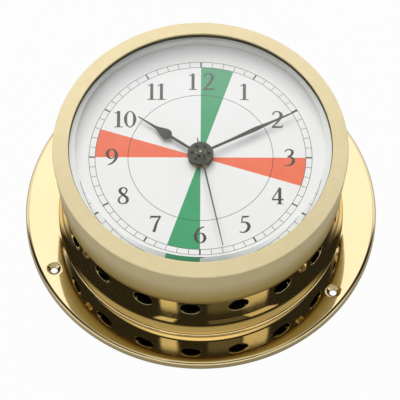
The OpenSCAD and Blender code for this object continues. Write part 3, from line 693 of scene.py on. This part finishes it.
# Serif figures: strokes of (x, y, pen width). FIGURE_W and FIGURE_H scale x and y, in millimetres
FIGURE_STROKES = {
    "0": [[(0.49, 0.49, 0.13), (0.43, 0.82, 0.08), (0.28, 0.97, 0.05), (0.13, 0.82, 0.08), (0.07, 0.49, 0.13),
           (0.13, 0.16, 0.08), (0.28, 0.01, 0.05), (0.43, 0.16, 0.08), (0.49, 0.49, 0.13)]],
    "1": [[(0.25, 0.03, 0.12), (0.25, 0.50, 0.12), (0.25, 0.98, 0.12)],
          [(0.07, 0.86, 0.05), (0.16, 0.89, 0.05), (0.25, 0.97, 0.07)],
          [(0.06, 0.02, 0.045), (0.25, 0.02, 0.05), (0.44, 0.02, 0.045)]],
    "2": [[(0.06, 0.78, 0.06), (0.16, 0.95, 0.06), (0.30, 0.985, 0.06), (0.43, 0.87, 0.11),
           (0.45, 0.72, 0.13), (0.36, 0.47, 0.10), (0.20, 0.22, 0.07), (0.05, 0.05, 0.05)],
          [(0.04, 0.04, 0.09), (0.27, 0.04, 0.09), (0.50, 0.04, 0.09)],
          [(0.50, 0.04, 0.04), (0.53, 0.18, 0.03)]],
    "3": [[(0.08, 0.84, 0.05), (0.18, 0.96, 0.06), (0.33, 0.97, 0.07), (0.42, 0.85, 0.11), (0.38, 0.66, 0.10),
           (0.20, 0.54, 0.045)],
          [(0.20, 0.54, 0.045), (0.38, 0.50, 0.09), (0.47, 0.34, 0.13), (0.40, 0.12, 0.10),
           (0.22, 0.02, 0.06), (0.05, 0.03, 0.05)]],
    "4": [[(0.38, 0.98, 0.05), (0.21, 0.64, 0.05), (0.04, 0.30, 0.05)],
          [(0.03, 0.28, 0.075), (0.29, 0.28, 0.075), (0.55, 0.28, 0.075)],
          [(0.38, 0.98, 0.12), (0.38, 0.50, 0.12), (0.38, 0.02, 0.12)],
          [(0.24, 0.02, 0.04), (0.38, 0.02, 0.045), (0.52, 0.02, 0.04)]],
    "5": [[(0.16, 0.94, 0.09), (0.31, 0.94, 0.09), (0.46, 0.96, 0.08)],
          [(0.17, 0.94, 0.05), (0.15, 0.76, 0.05), (0.13, 0.58, 0.05)],
          [(0.13, 0.58, 0.04), (0.27, 0.62, 0.07), (0.42, 0.52, 0.12), (0.46, 0.32, 0.13), (0.36, 0.10, 0.10),
           (0.20, 0.01, 0.06), (0.04, 0.05, 0.05)]],
    "6": [[(0.46, 0.96, 0.045), (0.26, 0.84, 0.08), (0.11, 0.62, 0.11), (0.07, 0.34, 0.13),
           (0.15, 0.09, 0.09), (0.28, 0.01, 0.05), (0.42, 0.08, 0.09), (0.49, 0.28, 0.12),
           (0.42, 0.50, 0.09), (0.28, 0.57, 0.05), (0.13, 0.45, 0.04)]],
    "7": [[(0.04, 0.92, 0.10), (0.27, 0.92, 0.10), (0.50, 0.93, 0.09)],
          [(0.04, 0.92, 0.04), (0.03, 0.78, 0.03)],
          [(0.49, 0.93, 0.06), (0.34, 0.60, 0.09), (0.20, 0.02, 0.12)]],
    "8": [[(0.27, 0.96, 0.06), (0.14, 0.88, 0.10), (0.13, 0.71, 0.12), (0.27, 0.54, 0.11), (0.42, 0.38, 0.12),
           (0.46, 0.20, 0.11), (0.38, 0.05, 0.08), (0.26, 0.01, 0.05), (0.12, 0.07, 0.07), (0.07, 0.22, 0.08),
           (0.13, 0.40, 0.06), (0.27, 0.54, 0.05), (0.40, 0.68, 0.06), (0.42, 0.84, 0.07), (0.35, 0.94, 0.06),
           (0.27, 0.96, 0.06)]],
}

# Space between the figures of 10, 11 and 12, in millimetres
FIGURE_GAPS = {10: 4.6, 11: 4.1, 12: 6.4}


def ribbon(bm, left, right, low, closed=False):
    """A thin layer of print between two lines of points (x, y) in millimetres."""
    high = low + INK_T
    rows = []
    for (lx, ly), (rx, ry) in zip(left, right):
        corners = ((lx, ly, low), (rx, ry, low), (rx, ry, high), (lx, ly, high))
        rows.append([bm.verts.new(Vector(c) * MM) for c in corners])
    pairs = list(zip(rows, rows[1:]))
    if closed:
        pairs.append((rows[-1], rows[0]))
    for a, b in pairs:
        for j in range(4):
            bm.faces.new((a[j], b[j], b[(j + 1) % 4], a[(j + 1) % 4]))
    if not closed:
        bm.faces.new(rows[0])
        bm.faces.new(rows[-1][::-1])


def on_circle(r, first, last, steps):
    """Points on a circle, in degrees clockwise from 12 o'clock."""
    angles = [math.radians(a) for a in steps_between(first, last, steps)]
    return [(r * math.sin(a), r * math.cos(a)) for a in angles]


def ring_line(bm, r, width, low):
    """A printed circle."""
    ribbon(bm, on_circle(r - width / 2, 0, 358, 179), on_circle(r + width / 2, 0, 358, 179), low, closed=True)


def tick(bm, degrees, inner, outer, width, low):
    """A printed radial stroke."""
    a = math.radians(degrees)
    out = Vector((math.sin(a), math.cos(a)))
    side = Vector((math.cos(a), -math.sin(a))) * width / 2
    left = [tuple(out * r - side) for r in (inner, outer)]
    right = [tuple(out * r + side) for r in (inner, outer)]
    ribbon(bm, left, right, low)


def curve_through(points, steps=8):
    """A smooth curve through points of any dimension (Catmull-Rom)."""
    given = [Vector(p) for p in points]
    if len(given) == 2:
        return given
    if (given[0] - given[-1]).length < 1e-6:
        padded = [given[-2]] + given + [given[1]]
    else:
        padded = [2 * given[0] - given[1]] + given + [2 * given[-1] - given[-2]]
    curve = []
    for a, b, c, d in zip(padded, padded[1:], padded[2:], padded[3:]):
        for k in range(steps):
            s = k / steps
            curve.append(0.5 * (2 * b + (c - a) * s + (2 * a - 5 * b + 4 * c - d) * s ** 2
                                + (3 * b - a - 3 * c + d) * s ** 3))
    return curve + [given[-1]]


def pen_stroke(bm, points, place, low):
    """A stroke of varying width along a smooth curve; place takes its units onto the dial."""
    curve = curve_through(points)
    left, right = [], []
    for k, here in enumerate(curve):
        before = curve[max(k - 1, 0)]
        after = curve[min(k + 1, len(curve) - 1)]
        along = Vector((after.x - before.x, after.y - before.y)).normalized()
        side = Vector((-along.y, along.x)) * here.z * PEN_WEIGHT / 2
        left.append(place(here.x + side.x, here.y + side.y))
        right.append(place(here.x - side.x, here.y - side.y))
    ribbon(bm, left, right, low)


def figure(bm, digit, x, y, low):
    """One figure of the dial, its middle at x, y. A 9 is a 6 turned round."""
    turn = -1 if digit == "9" else 1
    strokes = FIGURE_STROKES["6" if digit == "9" else digit]

    def place(u, v):
        return (x + turn * (u - 0.27) * FIGURE_W, y + turn * (v - 0.49) * FIGURE_H)

    for k, points in enumerate(strokes):
        pen_stroke(bm, [Vector(p) for p in points], place, low + 0.001 * k)


def make_print():
    """Coloured sectors, minute track, hour circle and figures."""
    for name, finish, start in (("green_sector_12", "green_print", 0), ("red_sector_3", "red_print", 90),
                                ("green_sector_6", "green_print", 180), ("red_sector_9", "red_print", 270)):
        bm = bmesh.new()
        inner = on_circle(SECTOR_IN_R, start, start + SECTOR_SPAN, 24)
        outer = on_circle(TRACK_IN_R, start, start + SECTOR_SPAN, 24)
        ribbon(bm, inner, outer, DIAL_TOP)
        piece(name, bm, finish)
    level = DIAL_TOP + 0.006
    bm = bmesh.new()
    for radius in (TRACK_OUT_R, TRACK_IN_R, HOUR_CIRCLE_R):
        ring_line(bm, radius, FINE_LINE, level)
    piece("printed_circles", bm, "ink")
    bm = bmesh.new()
    for minute in range(60):
        width = FINE_LINE if minute % 5 else HOUR_TICK
        tick(bm, 6 * minute, TRACK_IN_R, TRACK_OUT_R, width, level + 0.002)
    piece("minute_track", bm, "ink")
    for hour in range(1, 13):
        bm = bmesh.new()
        x, y = on_circle(FIGURE_R, 30 * hour, 360, 1)[0]
        digits = str(hour)
        for k, digit in enumerate(digits):
            shift = (k - (len(digits) - 1) / 2) * FIGURE_GAPS.get(hour, 0)
            figure(bm, digit, x + shift, y, level + 0.004)
        piece("figure_%d" % hour, bm, "figure_ink")


# ---------------------------------------------------------------- finishes of the CAD nodes

NODE_SLOTS = {
    "side_screws": "screw_brass",
    "dial_spacer_ring": "spacer_white",
    "dial_plate": "dial_white",
    "instrument_frame": "black_plastic",
    "movement_washer": "black_rubber",
    "threaded_bush": "raw_brass",
    "dial_washer": "raw_brass",
    "dial_nut": "raw_brass",
    "movement_front_case": "black_plastic",
    "movement_rear_case": "black_plastic",
    "movement_screws": "steel",
    "gear_bridge": "white_plastic",
    "stator": "steel",
    "coil_core": "steel",
    "coil_bobbin": "white_plastic",
    "coil_winding": "copper_wire",
    "circuit_board": "green_board",
    "control_chip": "black_plastic",
    "quartz_can": "steel",
    "cell": "cell_jacket",
    "cell_contact_plus": "steel",
    "cell_contact_minus": "steel",
    "second_hand": "hand_olive",
    "minute_hand": "hand_olive",
    "hour_hand": "hand_olive",
    "second_wheel": "raw_brass",
    "minute_wheel": "raw_brass",
    "hour_wheel": "white_plastic",
    "third_wheel": "raw_brass",
    "setting_wheel": "white_plastic",
    "setting_knob": "black_plastic",
    "reduction_wheel": "white_plastic",
    "rotor_magnet": "magnet_grey",
    "rotor_pinion": "white_plastic",
}


def dress_nodes():
    """Gives every CAD node that stays in view its finish."""
    for node, slot in NODE_SLOTS.items():
        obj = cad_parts[node]
        obj.data.materials.clear()
        obj.data.materials.append(MATERIALS[slot])


# ---------------------------------------------------------------- studio

def direction(azimuth, elevation):
    """From the clock outward. Azimuth 0 is at 6 o'clock, positive to the right."""
    flat = math.cos(elevation)
    return Vector((math.sin(azimuth) * flat, -math.cos(azimuth) * flat, math.sin(elevation)))


def make_camera():
    """A long lens that looks down at the clock from its 6 o'clock side."""
    data = bpy.data.cameras.new("camera")
    data.lens = VIEW_LENS
    data.sensor_width = 36
    data.clip_start = 0.01
    data.clip_end = 100
    camera = bpy.data.objects.new("camera", data)
    bpy.context.scene.collection.objects.link(camera)
    camera.location = VIEW_PIVOT + direction(VIEW_TURN, VIEW_ELEVATION) * VIEW_DISTANCE
    look = (VIEW_AIM - camera.location).to_track_quat("-Z", "Y")
    camera.rotation_mode = "QUATERNION"
    camera.rotation_quaternion = look @ Matrix.Rotation(-VIEW_ROLL, 4, "Z").to_quaternion()
    bpy.context.scene.camera = camera


FLOOR_TONE = (0.34, 0.34, 0.34)
FLOOR_GLOW = 0.97
FLOOR_MIRRORED = 0.1
FLOOR_HALF = 1.5


def make_floor():
    """A white table top that takes a soft shadow; it is dark under the case and clear from below."""
    mat, nodes, links, shader = new_material("table_white", FLOOR_TONE, 0.9)
    shader.inputs["Specular IOR Level"].default_value = 0.0
    glow = nodes.new("ShaderNodeEmission")
    glow.inputs["Color"].default_value = (1, 1, 1, 1)
    path = nodes.new("ShaderNodeLightPath")
    mirrored = maths(nodes, links, "MULTIPLY", path.outputs["Is Glossy Ray"], FLOOR_MIRRORED)
    seen = maths(nodes, links, "MAXIMUM", path.outputs["Is Camera Ray"], mirrored)
    place = nodes.new("ShaderNodeTexCoord")
    distance = nodes.new("ShaderNodeVectorMath")
    distance.operation = "LENGTH"
    links.new(place.outputs["Object"], distance.inputs[0])
    outside = rise(nodes, links, distance.outputs["Value"], DRUM_BORE_R * MM, FOOT_R * MM)
    seen = maths(nodes, links, "MULTIPLY", seen, outside)
    seen = maths(nodes, links, "MULTIPLY", seen, FLOOR_GLOW)
    mix = nodes.new("ShaderNodeMixShader")
    links.new(seen, mix.inputs["Fac"])
    links.new(shader.outputs["BSDF"], mix.inputs[1])
    links.new(glow.outputs["Emission"], mix.inputs[2])
    facing = nodes.new("ShaderNodeNewGeometry")
    clear = nodes.new("ShaderNodeBsdfTransparent")
    sided = nodes.new("ShaderNodeMixShader")
    links.new(facing.outputs["Backfacing"], sided.inputs["Fac"])
    links.new(mix.outputs["Shader"], sided.inputs[1])
    links.new(clear.outputs["BSDF"], sided.inputs[2])
    links.new(sided.outputs["Shader"], nodes["Material Output"].inputs["Surface"])
    bm = bmesh.new()
    bmesh.ops.create_grid(bm, x_segments=8, y_segments=8, size=FLOOR_HALF)
    mesh = bpy.data.meshes.new("floor")
    bm.to_mesh(mesh)
    bm.free()
    mesh.materials.append(mat)
    floor = bpy.data.objects.new("floor", mesh)
    floor.location.z = -0.02 * MM
    bpy.context.scene.collection.objects.link(floor)


# The room that the metal and the glass mirror: brightness of each part, where a part is given by
# the x, y and z of the direction towards it. Steps are (where it starts, where it is full, brightness).
ROOM_LEVEL = 0.025
ROOM_COLOUR = (1, 0.985, 0.96)
PANEL_COLOUR = (0.98, 0.975, 1.06)
PANEL_STEPS = [(0.34, 0.45, 1.20), (0.62, 0.88, -0.85)]
PANEL_EDGE = (0.28, 0.12)
BESIDE_LEVEL = 0.13
LOW_BESIDE_LEVEL = 0.80
LOW_BESIDE_EDGE = (0.84, 0.80)
FRONT_EDGE = (0.1, -0.3)
CEILING_LEVEL = 0.55
CEILING_EDGE = (0.92, 0.955)
HORIZON_STEPS = [(0.68, 0.60, 0.43), (0.45, 0.30, 0.60)]
UNDERSIDE_LEVEL = 1.20
UNDERSIDE_EDGE = (-0.05, -0.3)

# Strip lights: (azimuth, half width in degrees, brightness), between two elevations
STRIPS = [(-27, 7, 0.66), (47, 11, 0.62), (20, 14, 0.09)]
STRIP_LOW = math.radians(48)
STRIP_HIGH = math.radians(62)


def make_world():
    """A dark room: a white panel behind, dimmer walls beside it, a ceiling, and lights in front."""
    world = bpy.data.worlds.new("studio")
    bpy.context.scene.world = world
    world.use_nodes = True
    nodes, links = world.node_tree.nodes, world.node_tree.links
    nodes.clear()
    place = nodes.new("ShaderNodeTexCoord")
    split = nodes.new("ShaderNodeSeparateXYZ")
    links.new(place.outputs["Generated"], split.inputs["Vector"])
    x, y, z = (split.outputs[axis] for axis in "XYZ")
    level = ROOM_LEVEL
    across = rise(nodes, links, maths(nodes, links, "ABSOLUTE", x), *PANEL_EDGE)
    for start, full, strength in PANEL_STEPS:
        panel = maths(nodes, links, "MULTIPLY", rise(nodes, links, y, start, full), across)
        level = maths(nodes, links, "MULTIPLY_ADD", panel, strength, level)
    behind = rise(nodes, links, y, PANEL_STEPS[0][0], PANEL_STEPS[0][1])
    beside = maths(nodes, links, "MULTIPLY", behind, maths(nodes, links, "SUBTRACT", 1, across))
    level = maths(nodes, links, "MULTIPLY_ADD", beside, BESIDE_LEVEL, level)
    low_beside = maths(nodes, links, "MULTIPLY", beside, rise(nodes, links, z, *LOW_BESIDE_EDGE))
    level = maths(nodes, links, "MULTIPLY_ADD", low_beside, LOW_BESIDE_LEVEL, level)
    in_front = rise(nodes, links, y, *FRONT_EDGE)
    ceiling = rise(nodes, links, z, *CEILING_EDGE)
    overhead = maths(nodes, links, "MULTIPLY_ADD", in_front, CEILING_LEVEL, CEILING_LEVEL)
    level = maths(nodes, links, "MULTIPLY_ADD", ceiling, overhead, level)
    for start, full, strength in HORIZON_STEPS:
        horizon = maths(nodes, links, "MULTIPLY", rise(nodes, links, z, start, full), in_front)
        level = maths(nodes, links, "MULTIPLY_ADD", horizon, strength, level)
    underside = rise(nodes, links, z, *UNDERSIDE_EDGE)
    level = maths(nodes, links, "MULTIPLY_ADD", underside, UNDERSIDE_LEVEL, level)
    forward = maths(nodes, links, "MULTIPLY", y, -1.0)
    azimuth = maths(nodes, links, "ARCTAN2", x, forward)
    azimuth = maths(nodes, links, "MULTIPLY", azimuth, math.degrees(1))
    height = window(nodes, links, z, math.sin(STRIP_LOW), math.sin(STRIP_HIGH), 0.005)
    for middle, half, strength in STRIPS:
        strip = window(nodes, links, azimuth, middle - half, middle + half, 1.5)
        strip = maths(nodes, links, "MULTIPLY", strip, height)
        level = maths(nodes, links, "MULTIPLY_ADD", strip, strength, level)
    white = nodes.new("ShaderNodeBackground")
    white.inputs["Color"].default_value = (1, 1, 1, 1)
    room = nodes.new("ShaderNodeBackground")
    links.new(two_tone(nodes, links, behind, ROOM_COLOUR, PANEL_COLOUR), room.inputs["Color"])
    links.new(level, room.inputs["Strength"])
    path = nodes.new("ShaderNodeLightPath")
    mix = nodes.new("ShaderNodeMixShader")
    output = nodes.new("ShaderNodeOutputWorld")
    links.new(path.outputs["Is Camera Ray"], mix.inputs["Fac"])
    links.new(room.outputs["Background"], mix.inputs[1])
    links.new(white.outputs["Background"], mix.inputs[2])
    links.new(mix.outputs["Shader"], output.inputs["Surface"])


def area_light(name, azimuth, elevation, distance, size, power, colour):
    """A square soft box that faces the clock; polished metal and glass show the room instead."""
    data = bpy.data.lights.new(name, "AREA")
    data.shape = "SQUARE"
    data.size = size
    data.energy = power
    data.color = colour
    light = bpy.data.objects.new(name, data)
    out = direction(math.radians(azimuth), math.radians(elevation))
    light.location = out * distance
    light.rotation_mode = "QUATERNION"
    light.rotation_quaternion = (-out).to_track_quat("-Z", "Y")
    light.visible_glossy = False
    light.visible_transmission = False
    bpy.context.scene.collection.objects.link(light)


def make_lights():
    """A small soft box low behind the clock, and a large one high behind it."""
    area_light("key_box", -168, 43, 2.0, 0.5, 4, (1, 0.96, 0.92))
    area_light("fill_box", -160, 68, 2.0, 1.6, 32, (1, 0.965, 0.925))


def make_scene():
    """The dressed clock in its studio."""
    dress_nodes()
    make_flange()
    make_drum()
    make_bezel()
    make_crystal()
    make_gasket()
    make_print()
    make_camera()
    make_floor()
    make_world()
    make_lights()
    bpy.context.scene.view_settings.view_transform = "Standard"


make_scene()
